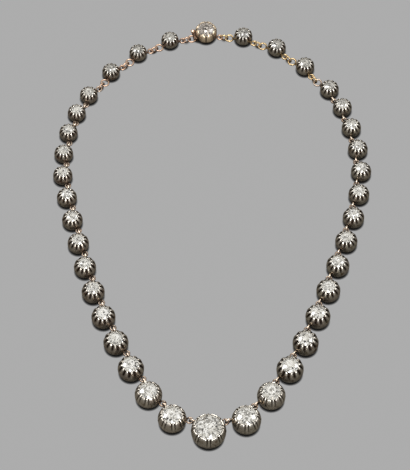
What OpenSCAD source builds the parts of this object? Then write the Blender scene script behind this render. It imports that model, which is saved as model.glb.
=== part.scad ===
/* [Collets] */
// Width of the centre collet
centre_w = 11.1; // [10:0.1:12.5]
// Width of the first collet beside the centre
first_w = 9.4; // [8.6:0.1:10.4]
// Width of the smallest collets, next to the clasp
last_w = 6.1; // [5.6:0.1:7]
// Width of the collet that holds the clasp
clasp_w = 7.3; // [6.8:0.1:8.4]
// How much narrower each left collet is than the right one that it matches
left_less = 0.3; // [0:0.05:0.5]
// Height of a collet's widest line, as a share of its half width
belly_share = 0.72; // [0.66:0.01:0.78]
// Thickness of the hollow bowl
bowl_t = 0.5; // [0.4:0.05:0.6]
// Width of the hole in the back, as a share of the collet's width
back_hole_share = 0.42; // [0.3:0.01:0.5]

/* [Stones] */
// Width of the centre stone, as a share of its collet
centre_stone_share = 0.78; // [0.72:0.01:0.8]
// Width of the first side stone, as a share of its collet
first_stone_share = 0.7; // [0.62:0.01:0.76]
// Width of the stones half way up a side, as a share of their collets
middle_stone_share = 0.57; // [0.5:0.01:0.66]
// Width of the last stones, as a share of their collets
last_stone_share = 0.64; // [0.56:0.01:0.7]
// Width of the clasp's stone, as a share of its collet
clasp_stone_share = 0.76; // [0.68:0.01:0.8]
// Width of a stone's table, as a share of the stone
table_share = 0.5; // [0.42:0.01:0.58]
// Height of a stone's crown, as a share of its half width
crown_share = 0.34; // [0.28:0.01:0.38]
// Depth of a stone's pavilion, as a share of its half width
pavilion_share = 0.84; // [0.76:0.01:0.88]
// Thickness of a stone's girdle, as a share of its half width
girdle_share = 0.06; // [0.04:0.01:0.1]
// Clearance between a stone and its seat
seat_gap = 0.1; // [0.06:0.01:0.14]
// Depth of the ledge that bears a stone, as a share of its pavilion
ledge_share = 0.4; // [0.32:0.02:0.46]

/* [Claws] */
// Claws round each of the large front stones
front_claw_count = 8; // [7:1:9]
// Claws round each of the other stones
claw_count = 12; // [10:1:14]
// Broad claws round the clasp's stone
clasp_claw_count = 8; // [6:1:10]
// Thickness of the rim round a stone, as a share of the collet's width
rim_share = 0.03; // [0.024:0.002:0.04]
// Reach of a claw over the stone, as a share of the collet's width
claw_reach_share = 0.045; // [0.03:0.005:0.06]
// Thickness of a claw's tip, as a share of the collet's width
claw_share = 0.022; // [0.018:0.002:0.03]
// Width of a claw's root, as a share of the claws' spacing
claw_root_share = 0.34; // [0.28:0.02:0.4]
// The same for the claws of the front stones
front_root_share = 0.15; // [0.12:0.01:0.2]
// Width of a flute between two claws, as a share of the claws' spacing
flute_share = 0.62; // [0.5:0.02:0.7]
// Width of each of the two flutes beside a front claw, as a share of the claws' spacing
pair_flute_share = 0.15; // [0.1:0.01:0.2]
// Distance of these two flutes from the claw's middle, as a share of the claws' spacing
pair_place_share = 0.13; // [0.1:0.01:0.2]
// Depth of a flute at the rim, as a share of the collet's width
flute_depth_share = 0.042; // [0.038:0.002:0.046]
// Fall of a flute down the collet's side, in degrees
flute_fall = 24; // [16:1:28]

/* [Joints] */
// Thickness of the wire of the eyes and links
wire = 0.58; // [0.48:0.02:0.62]
// Play of the wire in the eyes beside the centre
front_play = 0.8; // [0.5:0.01:1]
// Play of the wire in the eyes higher up the sides
side_play = 0.34; // [0.24:0.01:0.5]
// Play of the wire in the wide eyes that hold the back links
wide_play = 1.36; // [1:0.02:1.5]
// Play of the wire in the back links
link_play = 1.36; // [1:0.02:1.5]
// Play of the wire in the small eyes that hold the back links
small_play = 0.56; // [0.4:0.02:0.8]
// Slack between a back link and its eyes
link_gap = 0.15; // [0.1:0.01:0.3]
// Length of the stub between an eye and its collet
stub_l = 0.2; // [0.14:0.02:0.4]
// Length of the stubs at the back links
link_stub_l = 0.56; // [0.4:0.02:0.7]
// Height of the eyes, as a share of a collet's half width
eye_height_share = 0.6; // [0.52:0.01:0.66]
// How far the eyes sit toward the inside of the loop, as a share of a collet's half width
eye_inward_share = 0.34; // [0.2:0.02:0.4]
// Thickness of the stub that solders an eye on
stub_w = 0.68; // [0.64:0.02:0.8]

/* [Clasp] */
// Width of the clasp's tongue
tongue_w = 2.4; // [2:0.1:2.8]
// Thickness of the clasp's tongue
tongue_t = 0.9; // [0.7:0.05:1]
// Length of the tongue inside the collet
tongue_l = 2.6; // [2:0.1:3]
// Height of the tongue's middle, as a share of the collet's half width
tongue_height_share = 0.5; // [0.46:0.01:0.54]
// Clearance round the tongue and its pad
clasp_gap = 0.12; // [0.08:0.01:0.16]
// Thickness of the pad outside the collet
pad_t = 0.75; // [0.6:0.05:0.9]
// Height of the pad
pad_h = 1.7; // [1.4:0.1:2]
// Width of the thumb-piece's ball
thumb_w = 1.3; // [1:0.05:1.5]
// Height of the thumb-piece above the collet's widest line
thumb_rise = 1.1; // [0.9:0.05:1.4]

/* [Hidden] */
$fn = 32;
side_count = 18;
count = 2*side_count + 2;
clasp_i = side_count + 1;
// Close-set collets on each side, counted from the centre
close_count = 15;
// Collets on each side whose claws are set as the centre's are
front_count = 2;
// Corners of a stone's table; its girdle has twice as many
facets = 8;
// Corners between the star and main facets, and the points of the lower halves, as shares of the stone
star_share = 0.74;
low_share = 0.42;
culet_share = 0.05;
// How far a stub is sunk into the bowl
sink = 0.3;
// The seat's crown is this much steeper than the stone's main facets, to clear the other facets
crown_cover = 1.25;
// A claw's foot stands in the rim between these shares of the rim's thickness
foot_inner_share = 0.3;
foot_outer_share = 0.8;
// Width of a claw's tip, as a share of its root
point_share = 0.25;

// The loop as it lies, front first and then round by the right side
ROUTE = [
    [0, -79], [15, -72], [30, -49], [41, -21], [49, 6], [51, 25], [45, 48], [33, 64], [19, 74],
    [0, 78], [-20, 72], [-34, 61], [-45, 44], [-49, 24], [-46, 5], [-38, -26], [-27, -52], [-14, -72]
];
// Steps drawn between two points of the route
route_steps = 16;

function two(n) = str(n < 10 ? "0" : "", n);
function right_name(n) = str("collet_right_", two(n));
function left_name(n) = str("collet_left_", two(n));

// Collets run 0 at the centre, 1 to 18 up the right side, 19 at the clasp and 20 to 37 down the left
function next(i) = (i + 1) % count;
function place(i) = min(i, count - i);
function taper(n) = pow(1 - (n - 1)/(side_count - 1), 2);
function side_width(n) = last_w + (first_w - last_w)*taper(n);
function width(i) =
    i == 0 ? centre_w :
    i == clasp_i ? clasp_w :
    side_width(place(i)) - (i > clasp_i ? left_less : 0);
function half(i) = width(i)/2;
function belly_z(i) = belly_share*half(i);

// Stones: large at the front, smaller half way up, and a little larger again at the back
function stone_share(n) =
    let (t = 2*(n - 1)/(side_count - 1) - 1)
    middle_stone_share + ((t < 0 ? first_stone_share : last_stone_share) - middle_stone_share)*t*t;
function stone_half(i) = half(i)*(
    i == 0 ? centre_stone_share :
    i == clasp_i ? clasp_stone_share :
    stone_share(place(i)));
function rim_half(i) = stone_half(i) + seat_gap + rim_share*width(i);
function rim_z(i) = belly_z(i) + sqrt(half(i)*half(i) - rim_half(i)*rim_half(i));
function girdle_z(i) = rim_z(i) - girdle_share*stone_half(i);
function is_front(i) = place(i) <= front_count;
function claws(i) = i == clasp_i ? clasp_claw_count : is_front(i) ? front_claw_count : claw_count;
function spacing(i) = 2*PI*rim_half(i)/claws(i);
// Flutes stand half way between the claws, or at the front in pairs, one on each side of a claw
function flute_steps(i) = is_front(i) ? [-pair_place_share, pair_place_share] : [0.5];

// Joints: number i lies between collet i and the next one
function is_linked(i) = place(i) >= close_count && place(next(i)) >= close_count;
function front_share(i) = pow(1 - min(place(i), place(next(i)))/close_count, 2);
function close_play(i) = side_play + (front_play - side_play)*front_share(i);
// Mean radius of a ring that another wire passes through with some play
function ring_r(play) = wire + play/2;
// Mean radius of the eye that lies flat, at the start of a joint
function flat_r(i) = ring_r(is_linked(i) ? wide_play : close_play(i));
// Mean radius of the eye at the end of a joint
function end_r(i) = ring_r(is_linked(i) ? small_play : close_play(i));
// Distances between ring centres, along a joint
function flat_to_link(i) = flat_r(i) + ring_r(link_play) - wire - link_gap;
function link_to_end(i) = ring_r(link_play) + end_r(i) - wire - link_gap;
function ring_span(i) = is_linked(i) ? flat_to_link(i) + link_to_end(i) : (flat_r(i) + end_r(i))/2;
function joint_z(i) = eye_height_share*(half(i) + half(next(i)))/2;
function joint_in(i) = eye_inward_share*(half(i) + half(next(i)))/2;
// Distance from a collet's axis to its wall, at a joint's height and inward shift
function wall_x(i, j) =
    sqrt(half(i)*half(i) - pow(joint_z(j) - belly_z(i), 2) - pow(joint_in(j), 2));
// Length of a joint between the two collets' axes, without its stubs
function bare_joint(i) = wall_x(i, i) + flat_r(i) + ring_span(i) + end_r(i) + wall_x(next(i), i);

// The route as a smooth closed line, scaled to the length of the chain
function corner(k) = ROUTE[(k + len(ROUTE)) % len(ROUTE)];
function spline(k, t) =
    let (a = corner(k - 1), b = corner(k), c = corner(k + 1), d = corner(k + 2))
    0.5*(2*b + (c - a)*t + (2*a - 5*b + 4*c - d)*t*t + (3*b - a - 3*c + d)*t*t*t);
LINE = [for (k = [0:len(ROUTE) - 1], s = [0:route_steps - 1]) spline(k, s/route_steps)];
function line_at(k) = LINE[k % len(LINE)];
function running(list, k = 0, sum = 0) =
    k > len(list) ? [] : concat([sum], running(list, k + 1, sum + (k < len(list) ? list[k] : 0)));
TRAVEL = running([for (k = [0:len(LINE) - 1]) norm(line_at(k + 1) - line_at(k))]);
START = running([for (i = [0:count - 1]) bare_joint(i) + 2*(is_linked(i) ? link_stub_l : stub_l)]);
scale_up = START[count]/TRAVEL[len(LINE)];
function on_line(far) =
    let (k = max([for (n = [0:len(LINE) - 1]) TRAVEL[n] <= far ? n : 0]))
    let (t = (far - TRAVEL[k])/(TRAVEL[k + 1] - TRAVEL[k]))
    scale_up*(line_at(k)*(1 - t) + line_at(k + 1)*t);
LAID = [for (i = [0:count - 1]) on_line(START[i]/scale_up)];
low = [for (a = [0, 1]) min([for (i = [0:count - 1]) LAID[i][a] - half(i)])];
high = [for (a = [0, 1]) max([for (i = [0:count - 1]) LAID[i][a] + half(i)])];
PLACES = [for (p = LAID) p - (low + high)/2];

function chord(i) = PLACES[next(i)] - PLACES[i];
function heading(i) = atan2(chord(i)[1], chord(i)[0]);
// A stub's length once the two collets are laid on the curve
function stub(i) = (norm(chord(i)) - bare_joint(i))/2;
function flat_x(i) = wall_x(i, i) + stub(i) + flat_r(i);
function end_x(i) = flat_x(i) + ring_span(i);

// A joint's own frame: x along the joint from collet i, y toward the inside, z at the eyes' height
module joint_frame(i)
    translate([PLACES[i][0], PLACES[i][1], joint_z(i)])
        rotate(heading(i))
            translate([0, joint_in(i), 0])
                children();

module ring(r, upright = false)
    rotate(upright ? [90, 0, 0] : [0, 0, 0])
        rotate_extrude()
            translate([r, 0])
                circle(d = wire);

module rod(x0, x1)
    translate([x0, 0, 0])
        rotate([0, 90, 0])
            cylinder(d = stub_w, h = x1 - x0);

// The eye that lies flat, at the start of joint i
module flat_eye(i, from)
    joint_frame(i) {
        translate([flat_x(i), 0, 0])
            ring(flat_r(i));
        rod(from, flat_x(i) - flat_r(i));
    }

// The eye at the end of joint i, upright unless a link stands between the two
module end_eye(i)
    joint_frame(i) {
        translate([end_x(i), 0, 0])
            ring(end_r(i), !is_linked(i));
        rod(end_x(i) + end_r(i), norm(chord(i)) - wall_x(next(i), i) + sink);
    }

// A collet's own frame: its first claw faces the front of the loop
module at_collet(i)
    translate([PLACES[i][0], PLACES[i][1], 0])
        rotate(-90)
            children();

// A round bowl, cut flat at its foot and its rim, with a seat for the stone, hollow and open at the back
module bowl(i)
    rotate_extrude()
        difference() {
            intersection() {
                translate([0, belly_z(i)])
                    circle(half(i));
                square([half(i), rim_z(i)]);
            }
            polygon(seat_outline(i));
            intersection() {
                translate([0, belly_z(i)])
                    circle(half(i) - bowl_t);
                translate([0, bowl_t])
                    square([half(i), ledge_z(i) - bowl_t]);
            }
            square([back_hole_share*half(i), 2*bowl_t]);
        }

// A claw: a finger that stands in the rim and leans over the stone to a narrow tip
module claw(i) {
    wall = rim_share*width(i);
    inner = stone_half(i) + seat_gap + foot_inner_share*wall;
    outer = stone_half(i) + seat_gap + foot_outer_share*wall;
    tip = stone_half(i) - claw_reach_share*width(i);
    tip_z = girdle_z(i) + girdle_share/2*stone_half(i) + crown_rise(i, tip);
    thick = claw_share*width(i);
    root_w = spacing(i)*(is_front(i) ? front_root_share : claw_root_share);
    point_w = point_share*root_w;
    past = wall/4;
    intersection() {
        rotate([90, 0, 0])
            linear_extrude(2*root_w, center = true)
                polygon([
                    [inner, rim_z(i) - wall],
                    [outer, rim_z(i) - wall],
                    [outer, rim_z(i) + thick/2],
                    [tip, tip_z + thick],
                    [tip, tip_z],
                    [inner, rim_z(i) - past]
                ]);
        linear_extrude(width(i))
            polygon([
                [outer + past, -root_w/2],
                [outer + past, root_w/2],
                [inner, root_w/2],
                [tip - past, point_w/2],
                [tip - past, -point_w/2],
                [inner, -root_w/2]
            ]);
    }
}
function crown_rise(i, radius) =
    crown_cover*crown_share*(stone_half(i) + seat_gap - radius)/(1 - table_share);

// The bearing ledge under the stone ends here, above the hollow
function ledge_z(i) = girdle_z(i) - ledge_share*pavilion_share*stone_half(i);

// The room that a stone takes in its collet, with its clearance
function seat_outline(i) =
    let (wide = stone_half(i) + seat_gap, edge = girdle_share/2*stone_half(i))
    [
        [0, girdle_z(i) - edge - pavilion_share*wide],
        [wide, girdle_z(i) - edge],
        [wide, girdle_z(i) + edge],
        [table_share*wide, girdle_z(i) + edge + crown_rise(i, table_share*wide)],
        [0, girdle_z(i) + edge + crown_rise(i, table_share*wide)]
    ];

// A flute: a groove that starts on the side and deepens up to the rim
module flute(i) {
    rim_turn = acos(rim_half(i)/half(i));
    low_turn = rim_turn - flute_fall;
    from = half(i)*[cos(low_turn), sin(low_turn)];
    to = (half(i) - flute_depth_share*width(i))*[cos(rim_turn), sin(rim_turn)];
    run = to - from;
    long = norm(run);
    spread = spacing(i)*(is_front(i) ? pair_flute_share : flute_share)/2/(flute_depth_share*width(i));
    open = half(i);
    // The groove's edges run on past both of its ends
    translate([from[0], 0, belly_z(i) + from[1]])
        rotate([0, atan2(run[0], run[1]), 0])
            translate([0, 0, -long])
                linear_extrude(3*long)
                    polygon([[0, 0], [open, -spread*open], [open, spread*open]]);
}

module collet(i) {
    before = (i + count - 1) % count;
    difference() {
        union() {
            color(i == clasp_i ? "#b5a17c" : "#6f695c")
                at_collet(i) {
                    difference() {
                        bowl(i);
                        for (k = [0:claws(i) - 1], step = flute_steps(i))
                            rotate(360*(k + step)/claws(i))
                                flute(i);
                    }
                    for (k = [0:claws(i) - 1])
                        rotate(360*k/claws(i))
                            claw(i);
                }
            color("#b98f74") {
                if (i != clasp_i)
                    flat_eye(i, wall_x(i, i) - sink);
                end_eye(before);
            }
        }
        if (i == clasp_i)
            tongue_plate(clasp_gap);
    }
}

// The flat tongue inside the clasp's collet, grown by a clearance for its slot
module tongue_plate(grow = 0) {
    long = tongue_l + pad_t + 2*grow;
    joint_frame(clasp_i)
        translate([wall_x(clasp_i, clasp_i) - tongue_l - grow, -joint_in(clasp_i), 0])
            translate([0, -tongue_w/2 - grow, tongue_z() - tongue_t/2 - grow])
                cube([long, tongue_w + 2*grow, tongue_t + 2*grow]);
}
// The tongue's height from the eyes' height
function tongue_z() = tongue_height_share*half(clasp_i) - joint_z(clasp_i);

// The clasp's tongue: plate, pad, thumb-piece and the eye of the first left link
module clasp_tongue() {
    i = clasp_i;
    face = half(i) + clasp_gap;
    pad_w = tongue_w + 2*pad_t;
    thumb_x = face + thumb_w/2;
    color("#c29a72") {
        tongue_plate();
        difference() {
            joint_frame(i)
                translate([0, -joint_in(i), 0]) {
                    translate([0, -pad_w/2, tongue_z() - pad_h/2])
                        cube([face + pad_t, pad_w, pad_h]);
                    translate([thumb_x, -thumb_w/2, tongue_z()])
                        cylinder(d = wire, h = belly_z(i) + thumb_rise - tongue_z() - joint_z(i));
                    translate([thumb_x, -thumb_w/2, belly_z(i) + thumb_rise - joint_z(i)])
                        sphere(d = thumb_w);
                }
            translate([PLACES[i][0], PLACES[i][1], belly_z(i)])
                sphere(face);
        }
        flat_eye(i, face);
    }
}

// A round brilliant: octagonal table, star, kite and half facets, thin girdle, deep pavilion
module brilliant(r) {
    half_turn = 180/facets;
    star_z = crown_share*(1 - star_share*cos(half_turn))/(1 - table_share);
    low_z = pavilion_share*(1 - low_share*cos(half_turn))/(1 - culet_share);
    function circle_at(n, radius, z, turn) =
        [for (k = [0:n - 1]) r*[radius*cos(360*k/n + turn), radius*sin(360*k/n + turn), z]];
    points = concat(
        circle_at(facets, table_share, girdle_share/2 + crown_share, 0),
        circle_at(facets, star_share, girdle_share/2 + star_z, half_turn),
        circle_at(2*facets, 1, girdle_share/2, 0),
        circle_at(2*facets, 1, -girdle_share/2, 0),
        circle_at(facets, low_share, -girdle_share/2 - low_z, half_turn),
        circle_at(facets, culet_share, -girdle_share/2 - pavilion_share, 0)
    );
    star = facets;
    top = 2*facets;
    bottom = 4*facets;
    low = 6*facets;
    point = 7*facets;
    function turn(k) = (k + facets) % facets;
    function edge(k) = k % (2*facets);
    faces = concat(
        [[for (k = [facets - 1:-1:0]) k]],
        [for (k = [0:facets - 1]) [k, turn(k + 1), star + k]],
        [for (k = [0:facets - 1]) [k, star + k, top + 2*k, star + turn(k - 1)]],
        [for (k = [0:facets - 1]) [star + k, top + edge(2*k + 1), top + 2*k]],
        [for (k = [0:facets - 1]) [star + k, top + edge(2*k + 2), top + edge(2*k + 1)]],
        [for (k = [0:2*facets - 1]) [top + k, top + edge(k + 1), bottom + edge(k + 1), bottom + k]],
        [for (k = [0:facets - 1]) [low + k, bottom + 2*k, bottom + edge(2*k + 1)]],
        [for (k = [0:facets - 1]) [low + k, bottom + edge(2*k + 1), bottom + edge(2*k + 2)]],
        [for (k = [0:facets - 1]) [point + k, low + turn(k - 1), bottom + 2*k, low + k]],
        [for (k = [0:facets - 1]) [point + turn(k + 1), point + k, low + k]],
        [[for (k = [0:facets - 1]) point + k]]
    );
    polyhedron(points, faces);
}

module stone(i)
    color(i == clasp_i ? "#d8d6cf" : "#eeeeea")
        at_collet(i)
            translate([0, 0, girdle_z(i)])
                brilliant(stone_half(i));

module link(i)
    color("#c29a72")
        joint_frame(i)
            translate([flat_x(i) + flat_to_link(i), 0, 0])
                ring(ring_r(link_play), true);

collet(0);  // collet_centre
collet(clasp_i);  // collet_clasp
clasp_tongue();
stone(0);  // stone_centre
stone(clasp_i);  // stone_clasp
for (n = [1:side_count]) stone(n);  // stones_right
for (n = [1:side_count]) stone(count - n);  // stones_left
for (i = [close_count:side_count]) link(i);  // links_right
for (i = [close_count:side_count]) link(count - 1 - i);  // links_left
for (n = [1:side_count]) collet(n);
for (n = [1:side_count]) collet(count - n);
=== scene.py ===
import math
import random
from functools import partial

import bmesh
import bpy
from mathutils import Matrix, Vector


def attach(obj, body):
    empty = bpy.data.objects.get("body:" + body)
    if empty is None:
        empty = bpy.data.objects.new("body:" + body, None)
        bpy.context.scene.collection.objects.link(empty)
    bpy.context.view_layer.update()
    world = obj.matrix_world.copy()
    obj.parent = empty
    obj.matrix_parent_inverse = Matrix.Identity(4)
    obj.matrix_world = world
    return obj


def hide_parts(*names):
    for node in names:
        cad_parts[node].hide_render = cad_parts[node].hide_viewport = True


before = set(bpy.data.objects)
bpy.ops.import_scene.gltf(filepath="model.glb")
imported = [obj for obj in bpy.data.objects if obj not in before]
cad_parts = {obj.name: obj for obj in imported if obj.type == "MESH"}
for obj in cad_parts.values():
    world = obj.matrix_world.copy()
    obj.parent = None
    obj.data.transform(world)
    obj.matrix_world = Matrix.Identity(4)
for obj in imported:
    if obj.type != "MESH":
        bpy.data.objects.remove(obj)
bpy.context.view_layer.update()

print("frame loaded:", len(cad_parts), "CAD nodes")

mm = 0.001
imageHeight = 470  # the photograph is 410 x 470
scene = bpy.context.scene
random.seed(41)


# small helpers

def smoothStep(low, high, value):
    t = min(1, max(0, (value - low) / (high - low)))
    return t * t * (3 - 2 * t)


def newMaterial(name):
    material = bpy.data.materials.new(name)
    material.use_nodes = True
    tree = material.node_tree
    return material, tree, tree.nodes["Principled BSDF"]


def fillRamp(ramp, stops):
    while len(ramp.elements) < len(stops):
        ramp.elements.new(1)
    for element, (position, colour) in zip(ramp.elements, stops):
        element.position, element.color = position, (*colour, 1)


def addMaths(tree, operation, *values, clamp=False):
    # each value is a number or another node's output
    node = tree.nodes.new("ShaderNodeMath")
    node.operation, node.use_clamp = operation, clamp
    for socket, value in zip(node.inputs, values):
        if isinstance(value, (int, float)):
            socket.default_value = value
        else:
            tree.links.new(value, socket)
    return node.outputs[0]


def addPiece(name, bm, material, smooth=False):
    mesh = bpy.data.meshes.new(name)
    bm.to_mesh(mesh)
    bm.free()
    if smooth:
        mesh.shade_smooth()
    mesh.materials.append(material)
    piece = bpy.data.objects.new(name, mesh)
    scene.collection.objects.link(piece)
    return piece


def aimAlong(holder, direction):
    holder.rotation_mode = "QUATERNION"
    holder.rotation_quaternion = direction.to_track_quat("-Z", "Y")


# camera

view = {
    "elevation": 58.2,  # degrees above the floor
    "distance": 1200,  # mm, far off as with a long lens
    "aim": (-2.37, -0.87, 0),
    "pixelSize": 0.3254,  # mm of the floor for each pixel, at the aim
    "sensor": 36,
    "clip": (0.05, 10),
}


def makeCamera():
    camera = bpy.data.cameras.new("camera")
    camera.sensor_width = view["sensor"]
    camera.lens = view["distance"] / view["pixelSize"] * view["sensor"] / imageHeight
    camera.clip_start, camera.clip_end = view["clip"]
    rise = math.radians(view["elevation"])
    back = Vector((0, -math.cos(rise), math.sin(rise)))
    seat = bpy.data.objects.new("camera", camera)
    scene.collection.objects.link(seat)
    seat.location = (Vector(view["aim"]) + back * view["distance"]) * mm
    aimAlong(seat, -back)
    scene.camera = seat


# floor and light

studio = {
    "floorGrey": 0.4155,  # the photograph's even grey
    "floorShade": (0.13, 0.122, 0.105),  # the floor as the metal and the stones see it
    "floorSize": 1.2,
    "floorRough": 0.9,
    "floorShine": 0.1,
    "contact": 1.3,  # mm within which a painted contact shadow darkens the floor's glow under the bowls
    "paintedShadowGreys": [(0.42, 0.006), (0.57, 0.05), (0.7, 0.2)],  # painted contact shadow: open share of the sky, grey
    "openShare": 0.8,  # from here on the floor has its even grey
    "contactSamples": 32,
    "skyGrey": 0.34,
    "lamps": [
        # name, watts, size, place
        ("overhead", 4.8, 0.5, (-0.1, 0.05, 0.9)),
        ("front", 3.4, 0.35, (0.1, -0.75, 0.5)),
        ("left", 1.4, 0.3, (-0.75, 0.1, 0.5)),
        ("right", 0.9, 0.3, (0.75, 0.1, 0.5)),
        ("back", 1.6, 0.4, (0.05, 0.8, 0.55)),
        ("sparkle", 0.9, 0.06, (0.3, -0.3, 0.9)),
    ],
}


def makeStudio():
    world = bpy.data.worlds.new("studio")
    scene.world = world
    world.use_nodes = True
    sky = world.node_tree.nodes["Background"]
    sky.inputs["Color"].default_value = (*[studio["skyGrey"]] * 3, 1)
    for name, watts, size, place in studio["lamps"]:
        lamp = bpy.data.lights.new(name, "AREA")
        lamp.energy, lamp.size = watts, size
        holder = bpy.data.objects.new(name, lamp)
        scene.collection.objects.link(holder)
        holder.location = place
        aimAlong(holder, -Vector(place))

    bm = bmesh.new()
    bmesh.ops.create_grid(bm, x_segments=2, y_segments=2, size=studio["floorSize"])
    floor = addPiece("floor", bm, floorMaterial())


def floorMaterial():
    # the camera sees an even glowing grey with a painted contact shadow under the bowls, the metal
    # sees a darker floor
    material, tree, shader = newMaterial("paleFloor")
    nodes, links = tree.nodes, tree.links
    shader.inputs["Base Color"].default_value = (*studio["floorShade"], 1)
    shader.inputs["Roughness"].default_value = studio["floorRough"]
    shader.inputs["Specular IOR Level"].default_value = studio["floorShine"]
    # painted contact shadow: ambient occlusion darkens the glow that the camera sees
    under = nodes.new("ShaderNodeAmbientOcclusion")
    under.samples = studio["contactSamples"]
    under.inputs["Distance"].default_value = studio["contact"] * mm
    tone = nodes.new("ShaderNodeValToRGB")
    greys = studio["paintedShadowGreys"] + [(studio["openShare"], studio["floorGrey"])]
    fillRamp(tone.color_ramp, [(share, [grey] * 3) for share, grey in greys])
    glow = nodes.new("ShaderNodeEmission")
    path = nodes.new("ShaderNodeLightPath")
    mix = nodes.new("ShaderNodeMixShader")
    links.new(under.outputs["AO"], tone.inputs["Fac"])
    links.new(tone.outputs["Color"], glow.inputs["Color"])
    links.new(path.outputs["Is Camera Ray"], mix.inputs["Fac"])
    links.new(shader.outputs[0], mix.inputs[1])
    links.new(glow.outputs[0], mix.inputs[2])
    links.new(mix.outputs[0], nodes["Material Output"].inputs["Surface"])
    return material


# the chain, laid out as in the CAD source, in millimetres

chain = {
    "sideCount": 18,
    "closeCount": 15,  # collets whose eyes hook into each other, on each side
    "frontCount": 2,  # collets on each side with the centre's wide-set claws
    "centreWidth": 11.1,
    "firstWidth": 9.4,
    "lastWidth": 6.1,
    "claspWidth": 7.3,
    "leftLess": 0.3,  # the left side's collets are this much narrower
    "belly": 0.72,  # height of the widest place, share of half the width
    "wall": 0.5,
    "backHole": 0.42,  # share of half the width
    "eyeHeight": 0.6,  # this and the next are shares of half the width
    "eyeInward": 0.34,
    "wire": 0.58,
    "frontPlay": 0.8,  # room inside an eye, beside its own wire
    "sidePlay": 0.34,
    "widePlay": 1.36,
    "linkPlay": 1.36,
    "smallPlay": 0.56,
    "linkGap": 0.15,
    "stub": 0.2,
    "linkStub": 0.56,
    "routeSteps": 16,
    "route": [
        (0, -79), (15, -72), (30, -49), (41, -21), (49, 6), (51, 25), (45, 48), (33, 64), (19, 74),
        (0, 78), (-20, 72), (-34, 61), (-45, 44), (-49, 24), (-46, 5), (-38, -26), (-27, -52),
        (-14, -72),
    ],
}

stones = {
    "centre": 0.78,  # the stones' shares of their collets
    "first": 0.7,
    "middle": 0.57,
    "last": 0.64,
    "clasp": 0.76,
    "table": 0.5,  # the cut's shares of half the stone
    "crown": 0.34,
    "pavilion": 0.84,
    "girdle": 0.06,
    "starPoint": 0.74,
    "lowPoint": 0.42,
    "culet": 0.05,
    "facets": 8,
    "roundness": 64,  # sides of the blank that is cut
    "spare": 0.2,
    "gap": 0.1,
    "ledge": 0.4,
}

claws = {
    "frontCount": 8,
    "count": 12,
    "claspCount": 8,
    "rim": 0.03,  # this and the next are shares of the collet's width
    "reach": 0.045,
    "thick": 0.022,
    "sideLean": 0.8,  # how far a claw's sides lean in beside its middle
    "underReach": 0.8,  # its underside stops this much short
    "topRise": 0.1,
    "lipShare": 0.6,  # of the thickness, at the lip
}

colletCount = 2 * chain["sideCount"] + 2
claspIndex = chain["sideCount"] + 1


def following(i):
    return (i + 1) % colletCount


def placeOf(i):
    # how far from the centre, along its own side
    return min(i, colletCount - i)


def nodeName(i):
    if i == 0:
        return "collet_centre"
    if i == claspIndex:
        return "collet_clasp"
    return "collet_%s_%02d" % ("right" if i < claspIndex else "left", placeOf(i))


def measureCollet(i):
    n = placeOf(i)
    share = (n - 1) / (chain["sideCount"] - 1)
    if i == 0:
        width, stoneShare = chain["centreWidth"], stones["centre"]
    elif i == claspIndex:
        width, stoneShare = chain["claspWidth"], stones["clasp"]
    else:
        graded = (chain["firstWidth"] - chain["lastWidth"]) * (1 - share) ** 2
        width = chain["lastWidth"] + graded
        width -= chain["leftLess"] if i > claspIndex else 0
        t = 2 * share - 1
        outer = stones["first" if t < 0 else "last"]
        stoneShare = stones["middle"] + (outer - stones["middle"]) * t * t
    half = width / 2
    stoneHalf = half * stoneShare
    rimHalf = stoneHalf + stones["gap"] + claws["rim"] * width
    bellyZ = chain["belly"] * half
    rimZ = bellyZ + math.sqrt(half**2 - rimHalf**2)
    isFront = n <= chain["frontCount"]
    isClasp = i == claspIndex
    clawCount = claws["claspCount"] if isClasp else claws["frontCount" if isFront else "count"]
    return {
        "index": i, "width": width, "half": half, "stoneHalf": stoneHalf, "rimHalf": rimHalf,
        "seat": stoneHalf + stones["gap"], "wall": claws["rim"] * width,
        "edge": stones["girdle"] / 2 * stoneHalf, "high": math.acos(rimHalf / half),
        "bellyZ": bellyZ, "rimZ": rimZ, "girdleZ": rimZ - stones["girdle"] * stoneHalf,
        "isFront": isFront, "isClasp": isClasp, "clawCount": clawCount,
    }


def measureJoint(i, sizes):
    a, b = sizes[i], sizes[following(i)]
    nearer = min(placeOf(i), placeOf(following(i)))
    linked = nearer >= chain["closeCount"]
    frontShare = (1 - nearer / chain["closeCount"]) ** 2
    closePlay = chain["sidePlay"] + (chain["frontPlay"] - chain["sidePlay"]) * frontShare
    wire = chain["wire"]
    flat = wire + (chain["widePlay"] if linked else closePlay) / 2
    end = wire + (chain["smallPlay"] if linked else closePlay) / 2
    link = wire + chain["linkPlay"] / 2
    toLink = flat + link - wire - chain["linkGap"]
    span = toLink + link + end - wire - chain["linkGap"] if linked else (flat + end) / 2
    height = chain["eyeHeight"] * (a["half"] + b["half"]) / 2
    inward = chain["eyeInward"] * (a["half"] + b["half"]) / 2

    def wallAt(size):
        return math.sqrt(size["half"] ** 2 - (height - size["bellyZ"]) ** 2 - inward**2)

    return {
        "linked": linked, "flat": flat, "end": end, "link": link, "toLink": toLink, "span": span,
        "height": height, "inward": inward, "wallA": wallAt(a), "wallB": wallAt(b),
        "bare": wallAt(a) + flat + span + end + wallAt(b),
        "stub": chain["linkStub"] if linked else chain["stub"],
    }


def drawRoute():
    # a smooth closed curve through the route's points
    points = [Vector(p) for p in chain["route"]]
    line = []
    for k in range(len(points)):
        a, b, c, d = (points[(k + n) % len(points)] for n in (-1, 0, 1, 2))
        bend = 2 * a - 5 * b + 4 * c - d
        twist = 3 * b - a - 3 * c + d
        for s in range(chain["routeSteps"]):
            t = s / chain["routeSteps"]
            line.append(0.5 * (2 * b + (c - a) * t + bend * t**2 + twist * t**3))
    return line


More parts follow.
